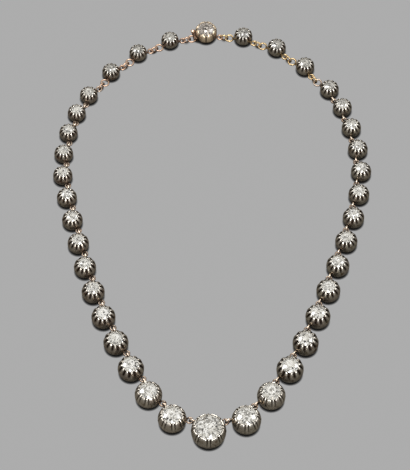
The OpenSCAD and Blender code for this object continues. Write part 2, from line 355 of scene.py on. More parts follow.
def layChain():
    sizes = [measureCollet(i) for i in range(colletCount)]
    joints = [measureJoint(i, sizes) for i in range(colletCount)]
    line = drawRoute()
    travel = [0]
    for k in range(len(line)):
        travel.append(travel[-1] + (line[(k + 1) % len(line)] - line[k]).length)
    total = sum(j["bare"] + 2 * j["stub"] for j in joints)
    scaleUp = total / travel[-1]

    laid, far = [], 0
    for joint in joints:
        k = max(n for n in range(len(line)) if travel[n] <= far / scaleUp)
        t = (far / scaleUp - travel[k]) / (travel[k + 1] - travel[k])
        laid.append(scaleUp * (line[k] * (1 - t) + line[(k + 1) % len(line)] * t))
        far += joint["bare"] + 2 * joint["stub"]

    low = [min(p[a] - s["half"] for p, s in zip(laid, sizes)) for a in (0, 1)]
    high = [max(p[a] + s["half"] for p, s in zip(laid, sizes)) for a in (0, 1)]
    middle = (Vector(low) + Vector(high)) / 2
    for i, size in enumerate(sizes):
        size["place"] = laid[i] - middle
    for i, joint in enumerate(joints):
        chord = sizes[following(i)]["place"] - sizes[i]["place"]
        joint["chord"], joint["heading"] = chord.length, math.atan2(chord.y, chord.x)
        joint["stub"] = (chord.length - joint["bare"]) / 2
        joint["flatX"] = joint["wallA"] + joint["stub"] + joint["flat"]
        joint["endX"] = joint["flatX"] + joint["span"]
    return sizes, joints


# stones: a round brilliant, cut facet by facet

sparkle = {
    "shard": 0.16,  # mm across a painted shard of reflected light in a stone 2 mm wide
    "growth": 0.65,
    "stretch": 0.7,  # along the radius, below 1 is longer
    "folds": 16,  # mirrored sectors round the stone
    "facetShift": 9,  # how far one facet's shards differ from the next one's
    "facetSnap": 0.04,  # slopes nearer than this are one facet
    "brokenTurn": 0.45,  # how far one sector's shards differ from the next one's
    "seedStep": 1.37,
    "backDull": 0.4,  # painted shade: the small stones at the back show more dark shards
    "backPlaces": (12, 17),
    "uneven": 0.12,
    "rimDull": 0.22,  # painted shade: and so do all of them towards the girdle
    "rimFall": 3,
    "clear": 0.32,  # share of real refraction, the rest is a painted white glow of the crown in the base colour
    "refraction": 2.42,
}

diamonds = {
    # chance from here on, painted reflection colour
    "diamond": [
        (0, (0.05, 0.045, 0.04)), (0.12, (0.33, 0.315, 0.28)),
        (0.33, (0.7, 0.67, 0.59)), (0.55, (1, 0.98, 0.92)),
    ],
    "greyDiamond": [
        (0, (0.05, 0.04, 0.03)), (0.16, (0.22, 0.19, 0.16)),
        (0.42, (0.45, 0.39, 0.33)), (0.72, (0.86, 0.78, 0.68)),
    ],
}


def cutPlane(bm, point, normal):
    cut = bmesh.ops.bisect_plane(
        bm, geom=bm.verts[:] + bm.edges[:] + bm.faces[:], dist=1e-6,
        plane_co=point, plane_no=normal, clear_outer=True,
    )
    edges = [e for e in cut["geom_cut"] if isinstance(e, bmesh.types.BMEdge)]
    if len(edges) > 2:
        bmesh.ops.contextual_create(bm, geom=edges)


def cutBrilliant():
    crown, pavilion, table = stones["crown"], stones["pavilion"], stones["table"]
    starPoint, lowPoint, culet = stones["starPoint"], stones["lowPoint"], stones["culet"]
    edge = stones["girdle"] / 2
    step = math.pi / stones["facets"]
    starZ = edge + crown * (1 - starPoint * math.cos(step)) / (1 - table)
    lowZ = -edge - pavilion * (1 - lowPoint * math.cos(step)) / (1 - culet)
    bm = bmesh.new()
    bmesh.ops.create_cone(
        bm, cap_ends=True, segments=stones["roundness"], radius1=1, radius2=1,
        depth=2 * (pavilion + stones["spare"]),
    )

    def ring(radius, z, turn):
        return Vector((radius * math.cos(turn), radius * math.sin(turn), z))

    def cut(a, b, c):
        normal = (b - a).cross(c - a).normalized()
        if normal.dot(a) < 0:
            normal = -normal
        cutPlane(bm, a, normal)

    cutPlane(bm, (0, 0, edge + crown), (0, 0, 1))
    cutPlane(bm, (0, 0, -edge - pavilion), (0, 0, -1))
    mains = [k * 2 * step for k in range(stones["facets"])]
    for main in mains:
        star, low = ring(starPoint, starZ, main + step), ring(lowPoint, lowZ, main + step)
        cut(ring(1, edge, main), ring(table, edge + crown, main), star)
        cut(ring(1, -edge, main), ring(culet, -edge - pavilion, main), low)
    for main in mains:
        star, low = ring(starPoint, starZ, main + step), ring(lowPoint, lowZ, main + step)
        cut(ring(table, edge + crown, main), ring(table, edge + crown, main + 2 * step), star)
        for side in (main, main + 2 * step):
            cut(ring(1, edge, side), ring(1, edge, main + step), star)
            cut(ring(1, -edge, side), ring(1, -edge, main + step), low)
    bmesh.ops.remove_doubles(bm, verts=bm.verts[:], dist=1e-4)
    bmesh.ops.dissolve_limit(bm, angle_limit=0.002, verts=bm.verts[:], edges=bm.edges[:])
    bmesh.ops.recalc_face_normals(bm, faces=bm.faces[:])
    return bm


def makeStones(name, indices, sizes, pattern, material):
    bm = bmesh.new()
    flat = bm.loops.layers.uv.new("cut")  # each stone's own plan, counted in painted shards of light
    seedLayer = bm.verts.layers.float.new("seed")
    dullLayer = bm.verts.layers.float.new("dull")
    rimLayer = bm.verts.layers.float.new("rim")
    for i in indices:
        size = sizes[i]
        shard = sparkle["shard"] * size["stoneHalf"] ** sparkle["growth"]
        dull = random.uniform(0, sparkle["uneven"])
        if i != claspIndex:
            dull += sparkle["backDull"] * smoothStep(*sparkle["backPlaces"], placeOf(i))
        earlier = set(bm.verts)
        bm.from_mesh(pattern)
        new = [v for v in bm.verts if v not in earlier]
        bmesh.ops.scale(bm, verts=new, vec=[size["stoneHalf"]] * 3)
        for v in new:
            v[seedLayer], v[dullLayer] = i * sparkle["seedStep"], dull
            v[rimLayer] = v.co.xy.length / size["stoneHalf"]
            for loop in v.link_loops:
                loop[flat].uv = v.co.xy / shard
        place = Matrix.Translation(Vector((*size["place"], size["girdleZ"])))
        turn = Matrix.Rotation(random.uniform(0, math.tau), 4, "Z")
        bmesh.ops.transform(bm, verts=new, matrix=Matrix.Scale(mm, 4) @ place @ turn)
    piece = addPiece(name, bm, material)
    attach(piece, "root")
    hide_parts(name)
    return piece


def diamondMaterial(name):
    # painted reflections in the base colour: shards of light mirrored round the stone's axis,
    # broken again at each facet of the crown
    material, tree, shader = newMaterial(name)
    nodes, links = tree.nodes, tree.links
    maths = partial(addMaths, tree)

    plan = nodes.new("ShaderNodeUVMap")
    plan.uv_map = "cut"
    split = nodes.new("ShaderNodeSeparateXYZ")
    links.new(plan.outputs[0], split.inputs[0])
    length = nodes.new("ShaderNodeVectorMath")
    length.operation = "LENGTH"
    links.new(plan.outputs[0], length.inputs[0])
    reach = length.outputs["Value"]
    angle = maths("ARCTAN2", split.outputs["Y"], split.outputs["X"])
    turn = maths("PINGPONG", angle, math.tau / sparkle["folds"])
    sector = maths("FLOOR", maths("MULTIPLY", angle, sparkle["folds"] / 2 / math.tau))

    slope = nodes.new("ShaderNodeNewGeometry")
    steady = nodes.new("ShaderNodeVectorMath")
    steady.operation = "SNAP"
    steady.inputs[1].default_value = [sparkle["facetSnap"]] * 3
    links.new(slope.outputs["True Normal"], steady.inputs[0])
    facet = nodes.new("ShaderNodeTexWhiteNoise")
    links.new(steady.outputs[0], facet.inputs["Vector"])

    seed, dull, rim = [nodes.new("ShaderNodeAttribute") for _ in range(3)]
    seed.attribute_name, dull.attribute_name, rim.attribute_name = "seed", "dull", "rim"
    rimFall = maths("POWER", rim.outputs["Fac"], sparkle["rimFall"])
    dim = maths("MULTIPLY", rimFall, sparkle["rimDull"])
    bright = maths("SUBTRACT", maths("SUBTRACT", 1, dull.outputs["Fac"]), dim)

    along = maths("MULTIPLY", reach, sparkle["stretch"])
    across = maths("MULTIPLY", reach, maths("SINE", turn))
    forward = maths("MULTIPLY", along, maths("COSINE", turn))
    shift = maths("MULTIPLY", facet.outputs["Value"], sparkle["facetShift"])
    shift = maths("ADD", shift, seed.outputs["Fac"])
    spot = nodes.new("ShaderNodeCombineXYZ")
    links.new(maths("ADD", forward, seed.outputs["Fac"]), spot.inputs["X"])
    links.new(across, spot.inputs["Y"])
    links.new(
        maths("ADD", shift, maths("MULTIPLY", sector, sparkle["brokenTurn"])), spot.inputs["Z"],
    )
    shards = nodes.new("ShaderNodeTexVoronoi")
    shards.inputs["Scale"].default_value = 1
    links.new(spot.outputs[0], shards.inputs["Vector"])
    chance = nodes.new("ShaderNodeSeparateColor")
    links.new(shards.outputs["Color"], chance.inputs[0])
    light = nodes.new("ShaderNodeValToRGB")
    light.color_ramp.interpolation = "CONSTANT"
    fillRamp(light.color_ramp, diamonds[name])
    links.new(maths("MULTIPLY", chance.outputs[0], bright), light.inputs["Fac"])
    links.new(light.outputs["Color"], shader.inputs["Base Color"])
    shader.inputs["Roughness"].default_value = 0.0
    shader.inputs["IOR"].default_value = sparkle["refraction"]
    shader.inputs["Transmission Weight"].default_value = sparkle["clear"]
    return material


# collets: hollow bowls with claws and dark slots

collet = {
    "lowRows": 8,
    "slotRows": 9,
    "hollowRows": 5,
    "slotFall": 42,  # degrees that the slots run down the side
    "claspFall": 66,
    "frontColumns": (-1, -0.7, 0, 0.7, 1),  # columns of points over a slot
    "plainColumns": (0.3, 0.65, 1),  # and from there to the middle between two claws
    "sideColumns": (1, 0.7, 0.35, 0),
    "slotDepth": 0.048,  # share of the width
    "slotFade": 0.7,  # below 1 the slots stay deep for longer
    "slotFlat": 0.8,  # below 1 their floors are flat in the middle
    "slotDark": (0.4, 0.5),  # how soon they darken, across and along
    "slotMouth": 0.9,  # share of a slot's width that is open at the rim
    "frontTaper": 0.6,  # how much narrower a slot is at its foot
    "sideTaper": 0.3,
    "frontClaw": 0.17,  # half widths, in mm at the rim
    "sideClaw": 0.15,
    "claspClaw": 0.45,
    "frontSlot": (0.49, 0.3),  # middle and half width of each slot beside a wide-set claw
    "sideSlot": 0.35,  # half width, as a share of the claws' spacing
    "claspSlot": 0.15,
    "ridge": 0.06,  # a claw stands out from the side by this
    "ridgeRun": 1.15,  # and runs on below the slots
    "ridgeGain": 2.5,
    "rimKeep": (0.1, 0.05),  # near the rim the slots leave this much wall
    "top": (0.35, 0.02),  # the rim's outer and inner edges: share of its wall, and rise
    "lip": (0.15, 0.01),
    "slotTop": (0.04, 0.12),  # the same two edges in a slot: out from the seat, and down
    "slotLip": (0.02, 0.05),
    "clawSlope": 1.25,  # a claw leans over the stone this much steeper than the crown
    # collet by collet, the degrees from its front to its first claw
    "turns": {0: 0, 1: 0, 2: 11, 5: 0, 6: 9, 12: 3, 19: 22.5, 27: 5, 36: -7, 37: 6},
    "freeTurn": 8,  # either way, for the others
    "wobble": 2.5,  # degrees, by hand
    # painted shade round the roots of the eyes on each bowl
    "rootShade": 0.85,
    "rootReach": 0.3,  # mm round an eye's root that are all painted shade
    "stainAndShade": 1.1,  # mm over which the painted shade fades
    "claspRootShade": 2.7,
    "insideGrime": 0.5,
    "claspGrime": 0.75,
    # painted shade along the bottom of each bowl, next to the floor
    "paintedFootShade": 0.9,
    "footReach": (0.1, 0.45),
    "sideLowShade": 0.36,  # painted shade on the lower half of the dark bowls
    "sideFade": 0.3,
    "backShadeLess": 0.6,  # and how much less of it there is at the back
    "backPlaces": (13, 17),
    "tipWear": 0.34,  # how far down a side claw is bright, as a share of the slots
    "frontWear": 1.6,  # above 1 a front claw is bright for longer
    "rimWear": 0.6,
    "rimReach": 0.12,
    "frontRub": 0.05,
    "claspRub": 0.3,
}


def clawLayout(size):
    # where the slots lie beside a claw, and the columns of points from its middle outwards
    reach = math.pi * size["rimHalf"] / size["clawCount"]
    if size["isFront"]:
        claw, (middle, spread) = collet["frontClaw"], collet["frontSlot"]
        steps = [middle + spread * f for f in collet["frontColumns"]]
        steps += [steps[-1] + (reach - steps[-1]) * f for f in collet["plainColumns"]]
    else:
        claw = collet["claspClaw" if size["isClasp"] else "sideClaw"]
        share = collet["claspSlot" if size["isClasp"] else "sideSlot"]
        middle, spread = reach, 2 * reach * share
        steps = [middle - spread * f for f in collet["sideColumns"]]
    return {
        "middle": middle, "spread": spread,
        "fall": math.radians(collet["claspFall" if size["isClasp"] else "slotFall"]),
        "taper": collet["frontTaper" if size["isFront"] else "sideTaper"],
        "steps": [0, claw / 2, claw] + steps,
    }


def profileOf(size, slotFall):
    # the bowl's section, from its back hole up the side and down again inside
    half, bellyZ, seat = size["half"], size["bellyZ"], size["seat"]
    edge, wall = size["edge"], size["wall"]
    low, high = math.asin(-chain["belly"]), size["high"]
    slotLow = high - slotFall
    lowRows, slotRows = collet["lowRows"], collet["slotRows"]
    turns = [low + (slotLow - low) * k / lowRows for k in range(lowRows)]
    turns += [slotLow + (high - slotLow) * k / slotRows for k in range(slotRows + 1)]
    rows = [("hole", chain["backHole"] * half, 0)]
    rows += [("side", half * math.cos(t), bellyZ + half * math.sin(t)) for t in turns]
    topIn, topRise = collet["top"]
    lipOut, lipRise = collet["lip"]
    rows.append(("top", size["rimHalf"] - topIn * wall, size["rimZ"] + topRise))
    rows.append(("lip", seat + lipOut * wall, size["rimZ"] + lipRise))
    rows.append(("seat", seat, size["girdleZ"] + edge))
    rows.append(("inside", seat, size["girdleZ"] - edge))

    fall = stones["ledge"] * stones["pavilion"] * size["stoneHalf"]
    ledgeZ = size["girdleZ"] - fall
    rows.append(("inside", seat * (1 - (fall - edge) / (stones["pavilion"] * seat)), ledgeZ))
    inner = half - chain["wall"]
    top = math.asin(min(0.9, (ledgeZ - bellyZ) / inner))
    floor = math.asin((chain["wall"] - bellyZ) / inner)
    last = collet["hollowRows"] - 1
    for k in range(last + 1):
        t = top + (floor - top) * k / last
        rows.append(("inside", inner * math.cos(t), bellyZ + inner * math.sin(t)))
    rows.append(("hole", chain["backHole"] * half, chain["wall"]))
    return rows


def formSide(size, layout, radius, z, inSlot, onClaw):
    # slots sunk into the outside, and a ridge down each claw
    wear_and_sheen, soil_and_shade = 0.0, 0.0
    turn = math.asin(max(-1, min(1, (z - size["bellyZ"]) / size["half"])))
    fall = (size["high"] - turn) / layout["fall"]
    if fall < 1:
        down = max(0, fall)
        near = max(0, 1 - inSlot / (layout["spread"] * (1 - layout["taper"] * down)))
        sink = collet["slotDepth"] * size["width"] * (1 - down) ** collet["slotFade"]
        sink *= smoothStep(0, collet["slotFlat"], near)
        radius -= sink * math.cos(turn)
        z -= sink * math.sin(turn)
        rimBand, rimWall = collet["rimKeep"]
        if fall < rimBand:
            radius = max(radius, size["seat"] + rimWall)
        across, along = collet["slotDark"]
        soil_and_shade = smoothStep(0, across, near) * smoothStep(0, along, 1 - fall)
        soil_and_shade *= collet["claspGrime"] if size["isClasp"] else 1
    # painted shade on the lower half of the side bowls, with less of it at the back
    if not size["isFront"] and not size["isClasp"]:
        back = smoothStep(*collet["backPlaces"], placeOf(size["index"]))
        dull = collet["sideLowShade"] * (1 - collet["backShadeLess"] * back)
        soil_and_shade = max(soil_and_shade, dull * (1 - smoothStep(0, collet["sideFade"], math.sin(turn))))
    # painted shade along the bowl's bottom
    soil_and_shade = max(soil_and_shade, collet["paintedFootShade"] * smoothStep(*collet["footReach"], -math.sin(turn)))

    ridge = max(0, 1 - fall / collet["ridgeRun"])
    if onClaw:
        if size["isFront"]:
            wear_and_sheen = min(1, collet["frontWear"] * ridge)
        else:
            wear_and_sheen = 1 - smoothStep(0, collet["tipWear"], fall)
        wear_and_sheen *= collet["claspRub"] if size["isClasp"] else 1
        rise = collet["ridge"] * min(1, collet["ridgeGain"] * ridge)
        radius += rise * math.cos(turn)
        z += rise * math.sin(turn)
    elif inSlot >= layout["spread"] and fall < collet["rimReach"]:
        wear_and_sheen = collet["rimWear"]
    elif size["isFront"]:
        wear_and_sheen = collet["frontRub"] * (1 - soil_and_shade)
    return radius, z, wear_and_sheen, soil_and_shade


def formClaw(size, tag, radius, z, isMiddle):
    # a claw leans in over the stone's edge to its tip
    pull = 1 if isMiddle else claws["sideLean"]
    thick = claws["thick"] * size["width"]
    reach = claws["reach"] * size["width"] * (claws["underReach"] if tag == "seat" else 1)
    goal = size["stoneHalf"] if tag == "top" else size["stoneHalf"] - reach
    rises = {"top": thick + claws["topRise"], "lip": claws["lipShare"] * thick, "seat": 0}
    slope = collet["clawSlope"] * stones["crown"] / (1 - stones["table"])
    height = size["girdleZ"] + size["edge"] + slope * (size["seat"] - goal) + rises[tag]
    return radius + (goal - radius) * pull, z + (height - z) * pull


def formWall(size, layout, tag, radius, z, offset, column):
    inSlot = abs(abs(offset) - layout["middle"])
    onClaw = column <= 1
    if tag == "side":
        return formSide(size, layout, radius, z, inSlot, onClaw)
    if tag in ("inside", "hole"):
        return radius, z, 0.0, collet["insideGrime"]
    if onClaw:
        return *formClaw(size, tag, radius, z, column == 0), 1, 0.0
    if tag == "seat":
        return radius, z, 0.0, 0.0
    if inSlot < layout["spread"] * collet["slotMouth"]:
        out, down = collet["slotTop" if tag == "top" else "slotLip"]
        return size["seat"] + out, size["girdleZ"] + size["edge"] - down, 0.0, 1
    return radius, z, collet["rimWear"], 0.0


def makeBowl(size, eyeRoots, material):
    bm = bmesh.new()
    layout = clawLayout(size)
    rows = profileOf(size, layout["fall"])
    clawCount = size["clawCount"]
    perClaw = 2 * (len(layout["steps"]) - 1)
    steps = perClaw * clawCount
    rowLayer = bm.verts.layers.int.new("row")
    ends = [bm.verts.new((r, 0, z)) for tag, r, z in rows]
    for k, v in enumerate(ends):
        v[rowLayer] = k
    rim = [bm.edges.new(pair) for pair in zip(ends, ends[1:] + ends[:1])]
    bmesh.ops.spin(
        bm, geom=ends + rim, cent=(0, 0, 0), axis=(0, 0, 1), dvec=(0, 0, 0),
        angle=math.tau, steps=steps, use_merge=True,
    )

    wearAndSheenLayer = bm.verts.layers.float.new("wear_and_sheen")
    soilAndShadeLayer = bm.verts.layers.float.new("soil_and_shade")
    swing = math.radians(collet["wobble"])
    wobble = [random.uniform(-1, 1) * swing for k in range(clawCount)]
    freeTurn = random.uniform(-collet["freeTurn"], collet["freeTurn"])
    first = math.radians(collet["turns"].get(size["index"], freeTurn) - 90)
    stainAndShade = collet["claspRootShade" if size["isClasp"] else "stainAndShade"]
    rootReach = collet["rootReach"]
    for v in bm.verts:
        tag, radius, z = rows[v[rowLayer]]
        step = round(math.atan2(v.co.y, v.co.x) / math.tau * steps)
        number = math.floor(step / perClaw + 0.5)
        column = step - number * perClaw
        offset = math.copysign(layout["steps"][abs(column)], column)
        turn = first + math.tau * number / clawCount + offset / size["rimHalf"]
        turn += wobble[number % clawCount] * (1 - abs(column) / (perClaw / 2))
        formed = formWall(size, layout, tag, radius, z, offset, abs(column))
        radius, z, v[wearAndSheenLayer], v[soilAndShadeLayer] = formed
        x, y = radius * math.cos(turn), radius * math.sin(turn)
        v.co = (x + size["place"].x, y + size["place"].y, z)
        # painted shade round each eye's root
        near = min((v.co - root).length for root in eyeRoots)
        grime_and_shade = collet["rootShade"] * (1 - smoothStep(rootReach, stainAndShade + rootReach, near))
        v[soilAndShadeLayer] = max(v[soilAndShadeLayer], grime_and_shade)
    bm.verts.layers.int.remove(rowLayer)
    bmesh.ops.recalc_face_normals(bm, faces=bm.faces[:])
    bmesh.ops.scale(bm, verts=bm.verts[:], vec=(mm, mm, mm))
    name = nodeName(size["index"])
    piece = addPiece(name + "_bowl", bm, material, smooth=True)
    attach(piece, "root")
    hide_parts(name)
    return piece


# metals

metals = {
    "darkSilver": {
        "clean": (0.95, 0.90, 0.81), "patina": (0.225, 0.187, 0.117),
        "brown": (0.135, 0.078, 0.042), "grime_and_shade": (0.016, 0.008, 0.004),
        "cloud": 900, "amount": 1.0, "rough": 0.18,
    },
    "brownSilver": {
        "clean": (0.95, 0.89, 0.79), "patina": (0.235, 0.178, 0.115),
        "brown": (0.145, 0.074, 0.042), "grime_and_shade": (0.017, 0.008, 0.004),
        "cloud": 800, "amount": 1.0, "rough": 0.18,
    },
    "roseGold": {
        "clean": (0.92, 0.67, 0.50), "patina": (0.26, 0.135, 0.07),
        "brown": (0.13, 0.06, 0.028), "grime_and_shade": (0.025, 0.012, 0.006),
        "cloud": 1500, "amount": 1.0, "rough": 0.24,
    },
    "yellowGold": {
        "clean": (0.95, 0.74, 0.42), "patina": (0.34, 0.195, 0.07),
        "brown": (0.17, 0.085, 0.026), "grime_and_shade": (0.03, 0.014, 0.005),
        "cloud": 1500, "amount": 1.0, "rough": 0.24,
    },
    "paleGold": {
        "clean": (0.95, 0.80, 0.60), "patina": (0.88, 0.69, 0.49),
        "brown": (0.6, 0.42, 0.26), "grime_and_shade": (0.03, 0.018, 0.009),
        "cloud": 1100, "amount": 0.7, "rough": 0.34,
    },
    # much darker than the other golds, for the eyes between the collets: partly tarnish, partly
    # painted shade of those joints
    "brownGold": {
        "clean": (0.97, 0.80, 0.64), "patina": (0.085, 0.034, 0.013),
        "brown": (0.05, 0.018, 0.007), "grime_and_shade": (0.012, 0.005, 0.002),
        "cloud": 1500, "amount": 1.0, "rough": 0.22,
    },
}

ageing = {
    "cloudDetail": 5.0,
    "fineScale": 6000.0,
    "stainScale": 420.0,
    "detail": 3.0,
    "patch": (3.2, -1.1),  # gain and shift of a noise that becomes a mask
    "stainAndShade": (5, -2.1),
    "grain": (0.5, 0.75),
    "least": 0.55,  # patina between the patches
    "rougher": 0.26,
    "cloudRise": 0.6,
    "bump": 0.6,
    "bumpDepth": 0.04,
}


def agedMetalGroup():
    group = bpy.data.node_groups.new("agedMetal", "ShaderNodeTree")
    for name in ("Clean", "Patina", "Brown", "Grime_And_Shade"):
        group.interface.new_socket(name, in_out="INPUT", socket_type="NodeSocketColor")
    for name in ("Cloud Scale", "Patina Amount", "Polish", "Wear_And_Sheen", "Soil_And_Shade"):
        group.interface.new_socket(name, in_out="INPUT", socket_type="NodeSocketFloat")
    group.interface.new_socket("Color", in_out="OUTPUT", socket_type="NodeSocketColor")
    group.interface.new_socket("Roughness", in_out="OUTPUT", socket_type="NodeSocketFloat")
    group.interface.new_socket("Height", in_out="OUTPUT", socket_type="NodeSocketFloat")
    nodes, links = group.nodes, group.links
    given, put = nodes.new("NodeGroupInput").outputs, nodes.new("NodeGroupOutput").inputs
    coords = nodes.new("ShaderNodeTexCoord")
    maths = partial(addMaths, group)

    def noise(scale, detail):
        node = nodes.new("ShaderNodeTexNoise")
        node.inputs["Detail"].default_value = detail
        links.new(coords.outputs["Object"], node.inputs["Vector"])
        if isinstance(scale, float):
            node.inputs["Scale"].default_value = scale
        else:
            links.new(scale, node.inputs["Scale"])
        return node.outputs["Fac"]

    def blend(share, first, second):
        node = nodes.new("ShaderNodeMix")
        node.data_type = "RGBA"
        links.new(share, node.inputs["Factor"])
        links.new(first, node.inputs["A"])
        links.new(second, node.inputs["B"])
        return node.outputs["Result"]

    cloud = noise(given["Cloud Scale"], ageing["cloudDetail"])
    fine = noise(ageing["fineScale"], ageing["detail"])
    spots = noise(ageing["stainScale"], ageing["detail"])
    # clean metal where worn, and on the wire tops also as a painted highlight
    unwornUnlit = maths("SUBTRACT", 1, given["Wear_And_Sheen"], clamp=True)
    patchy = maths("MULTIPLY_ADD", cloud, *ageing["patch"], clamp=True)
    patchy = maths("MULTIPLY", patchy, given["Patina Amount"])
    least = maths("MULTIPLY", given["Patina Amount"], ageing["least"])
    aged = maths("MULTIPLY", patchy, unwornUnlit, clamp=True)
    aged = maths("MAXIMUM", aged, maths("MULTIPLY", least, unwornUnlit))
    stainAndShade = maths("MULTIPLY_ADD", spots, *ageing["stainAndShade"], clamp=True)
    patina = blend(stainAndShade, given["Patina"], given["Brown"])
    tone = blend(aged, given["Clean"], patina)
    grain = maths("MULTIPLY_ADD", fine, *ageing["grain"])
    # the dark colour goes where dirt lies in the slots and hollows, and where shade is painted at
    # the feet, the lower halves, the eye roots and low on the wires
    grime_and_shade = maths("MULTIPLY", given["Soil_And_Shade"], grain, clamp=True)
    roughening = maths("MAXIMUM", aged, grime_and_shade)
    rough = maths("MULTIPLY_ADD", roughening, ageing["rougher"], given["Polish"])
    height = maths("ADD", fine, maths("MULTIPLY", cloud, ageing["cloudRise"]))
    links.new(blend(grime_and_shade, tone, given["Grime_And_Shade"]), put["Color"])
    links.new(rough, put["Roughness"])
    links.new(height, put["Height"])
    return group


def metalMaterial(name, group):
    look = metals[name]
    material, tree, shader = newMaterial(name)
    nodes, links = tree.nodes, tree.links
    aged = nodes.new("ShaderNodeGroup")
    aged.node_tree = group
    for socket in ("Clean", "Patina", "Brown", "Grime_And_Shade"):
        aged.inputs[socket].default_value = (*look[socket.lower()], 1)
    aged.inputs["Cloud Scale"].default_value = look["cloud"]
    aged.inputs["Patina Amount"].default_value = look["amount"]
    aged.inputs["Polish"].default_value = look["rough"]
    # masks of wear with painted highlight, and of dirt with painted shade
    for socket in ("Wear_And_Sheen", "Soil_And_Shade"):
        mask = nodes.new("ShaderNodeAttribute")
        mask.attribute_name = socket.lower()
        links.new(mask.outputs["Fac"], aged.inputs[socket])
    bump = nodes.new("ShaderNodeBump")
    bump.inputs["Strength"].default_value = ageing["bump"]
    bump.inputs["Distance"].default_value = ageing["bumpDepth"] * mm
    links.new(aged.outputs["Height"], bump.inputs["Height"])
    links.new(aged.outputs["Color"], shader.inputs["Base Color"])
    links.new(aged.outputs["Roughness"], shader.inputs["Roughness"])
    links.new(bump.outputs["Normal"], shader.inputs["Normal"])
    shader.inputs["Metallic"].default_value = 1
    return material


# eyes and links: round gold wire

eyes = {
    "turns": 28,
    "sides": 10,
    "stubSides": 14,
    "stubWidth": 0.68,
    "rootWidth": 1.0,
    "sink": 0.3,
    "rubAndSheen": 1.0,  # wear and painted highlight: how bright the tops of the wires are
    "flatRubAndSheen": 0.0,
    "backRubAndSheen": 0.35,
    "rubAndSheenReach": (0.66, 0.88),  # shares of a wire's height
    # painted shade low down on each wire
    "grime_and_shade": 0.85,
    "lowShadeReach": (0.4, 0.75),
    # painted shade round where the wire is soldered to the bowl
    "rootShade": 0.95,
    "rootReach": (0.4, 1.3),  # mm from where it is soldered, over which the painted shade fades
}

upright = Matrix.Rotation(math.pi / 2, 4, "X")


def newWire():
    bm = bmesh.new()
    for name in ("wear_and_sheen", "soil_and_shade"):
        bm.verts.layers.float.new(name)
    return bm


def shadeLowLightTops(bm, verts, rubAndSheen):
    # painted shade low down on the wire, and the top made bright: partly wear, partly a painted
    # highlight
    wearAndSheenLayer, soilAndShadeLayer = bm.verts.layers.float["wear_and_sheen"], bm.verts.layers.float["soil_and_shade"]
    low, high = min(v.co.z for v in verts), max(v.co.z for v in verts)
    for v in verts:
        height = (v.co.z - low) / (high - low)
        v[wearAndSheenLayer] = rubAndSheen * smoothStep(*eyes["rubAndSheenReach"], height)
        v[soilAndShadeLayer] = eyes["grime_and_shade"] * (1 - smoothStep(*eyes["lowShadeReach"], height))


def addRing(bm, radius, matrix, rubAndSheen):
    earlier = set(bm.verts)
    made = bmesh.ops.create_circle(bm, segments=eyes["sides"], radius=chain["wire"] / 2)
    verts = made["verts"]
    out = Matrix.Translation((radius, 0, 0)) @ upright
    bmesh.ops.transform(bm, verts=verts, matrix=out)
    edges = list({e for v in verts for e in v.link_edges})
    bmesh.ops.spin(
        bm, geom=verts + edges, cent=(0, 0, 0), axis=(0, 0, 1), dvec=(0, 0, 0),
        angle=math.tau, steps=eyes["turns"], use_merge=True,
    )
    verts = [v for v in bm.verts if v not in earlier]
    bmesh.ops.transform(bm, verts=verts, matrix=matrix)
    shadeLowLightTops(bm, verts, rubAndSheen)


def addStub(bm, root, ring, matrix):
    # a short soldered stub that widens at its root on the bowl
    made = bmesh.ops.create_cone(
        bm, cap_ends=True, segments=eyes["stubSides"], radius1=eyes["rootWidth"] / 2,
        radius2=eyes["stubWidth"] / 2, depth=abs(ring - root),
    )
    turn = Matrix.Rotation(math.copysign(math.pi / 2, ring - root), 4, "Y")
    stand = matrix @ Matrix.Translation(((root + ring) / 2, 0, 0)) @ turn
    bmesh.ops.transform(bm, verts=made["verts"], matrix=stand)


def jointMatrix(i, sizes, joints):
    # along the joint from its first collet, at the eyes' height
    place, joint = sizes[i]["place"], joints[i]
    turn = Matrix.Rotation(joint["heading"], 4, "Z")
    aside = Matrix.Translation((0, joint["inward"], 0))
    return Matrix.Translation((place.x, place.y, joint["height"])) @ turn @ aside


def eyeRootsOf(i, sizes, joints):
    before = (i - 1) % colletCount
    after, behind = joints[i], joints[before]
    return [
        jointMatrix(i, sizes, joints) @ Vector((after["wallA"], 0, 0)),
        jointMatrix(before, sizes, joints) @ Vector((behind["chord"] - behind["wallB"], 0, 0)),
    ]


def addFlatEye(bm, i, sizes, joints, root):
    joint, matrix = joints[i], jointMatrix(i, sizes, joints)
    rubAndSheen = eyes["backRubAndSheen" if joint["linked"] else "flatRubAndSheen"]
    addRing(bm, joint["flat"], matrix @ Matrix.Translation((joint["flatX"], 0, 0)), rubAndSheen)
    addStub(bm, root, joint["flatX"] - joint["flat"], matrix)


def addEndEye(bm, i, sizes, joints):
    joint, matrix = joints[i], jointMatrix(i, sizes, joints)
    stand = Matrix.Identity(4) if joint["linked"] else upright
    rubAndSheen = eyes["backRubAndSheen" if joint["linked"] else "rubAndSheen"]
    addRing(bm, joint["end"], matrix @ Matrix.Translation((joint["endX"], 0, 0)) @ stand, rubAndSheen)
    root = joint["chord"] - joint["wallB"] + eyes["sink"]
    addStub(bm, root, joint["endX"] + joint["end"], matrix)


def finishWire(bm, name, node, roots, material):
    soilAndShadeLayer = bm.verts.layers.float["soil_and_shade"]
    for v in bm.verts:
        # painted shade near the solder
        near = min(((v.co - root).length for root in roots), default=math.inf)
        grime_and_shade = eyes["rootShade"] * (1 - smoothStep(*eyes["rootReach"], near))
        v[soilAndShadeLayer] = max(v[soilAndShadeLayer], grime_and_shade)
    bmesh.ops.recalc_face_normals(bm, faces=bm.faces[:])
    bmesh.ops.scale(bm, verts=bm.verts[:], vec=(mm, mm, mm))
    piece = addPiece(name, bm, material, smooth=True)
    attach(piece, "root")
    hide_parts(node)
    return piece


